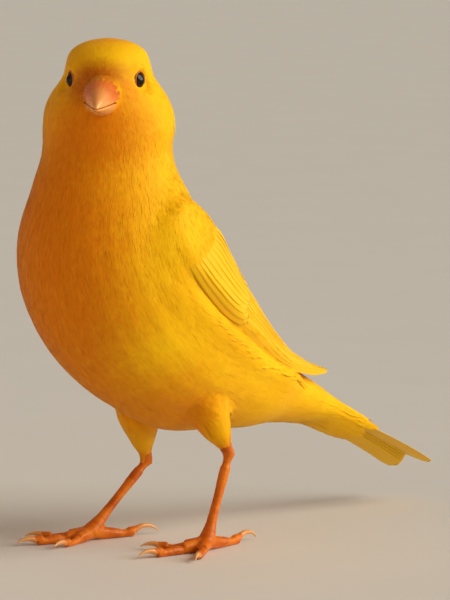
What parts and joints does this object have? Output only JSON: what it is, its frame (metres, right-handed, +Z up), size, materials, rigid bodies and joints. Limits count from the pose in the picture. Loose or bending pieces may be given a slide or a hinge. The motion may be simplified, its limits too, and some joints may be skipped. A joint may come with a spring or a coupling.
{
  "type": "canary",
  "caption": "Life-size canary standing on both feet with folded wings and tail, its head turned to its left. A still model.",
  "frame": {"origin": "centre of the box round the whole bird, on the floor", "axes": "+Z up, -Y ahead of the bird's body, +X to the bird's left"},
  "size_m": [0.046, 0.112, 0.1095],
  "materials": {
    "plumage": "soft yellow body feathers",
    "flight_feathers": "sleek paler yellow wing and tail feathers",
    "bill": "satin pinkish horn",
    "eye": "wet dark brown",
    "leg_skin": "scaled orange skin",
    "claw": "satin horn"
  },
  "bodies": {
    "root": {"torso": "plumage", "neck": "plumage", "head": "plumage", "wing_left": "flight_feathers", "wing_right": "flight_feathers", "tail": "flight_feathers", "bill_upper": "bill", "bill_lower": "bill", "eye_left": "eye", "eye_right": "eye", "thigh_left": "plumage", "shank_left": "leg_skin", "foot_left": "leg_skin", "claw_left_1": "claw", "claw_left_2": "claw", "claw_left_3": "claw", "claw_left_4": "claw", "thigh_right": "plumage", "shank_right": "leg_skin", "foot_right": "leg_skin", "claw_right_1": "claw", "claw_right_2": "claw", "claw_right_3": "claw", "claw_right_4": "claw"}
  },
  "joints": []
}
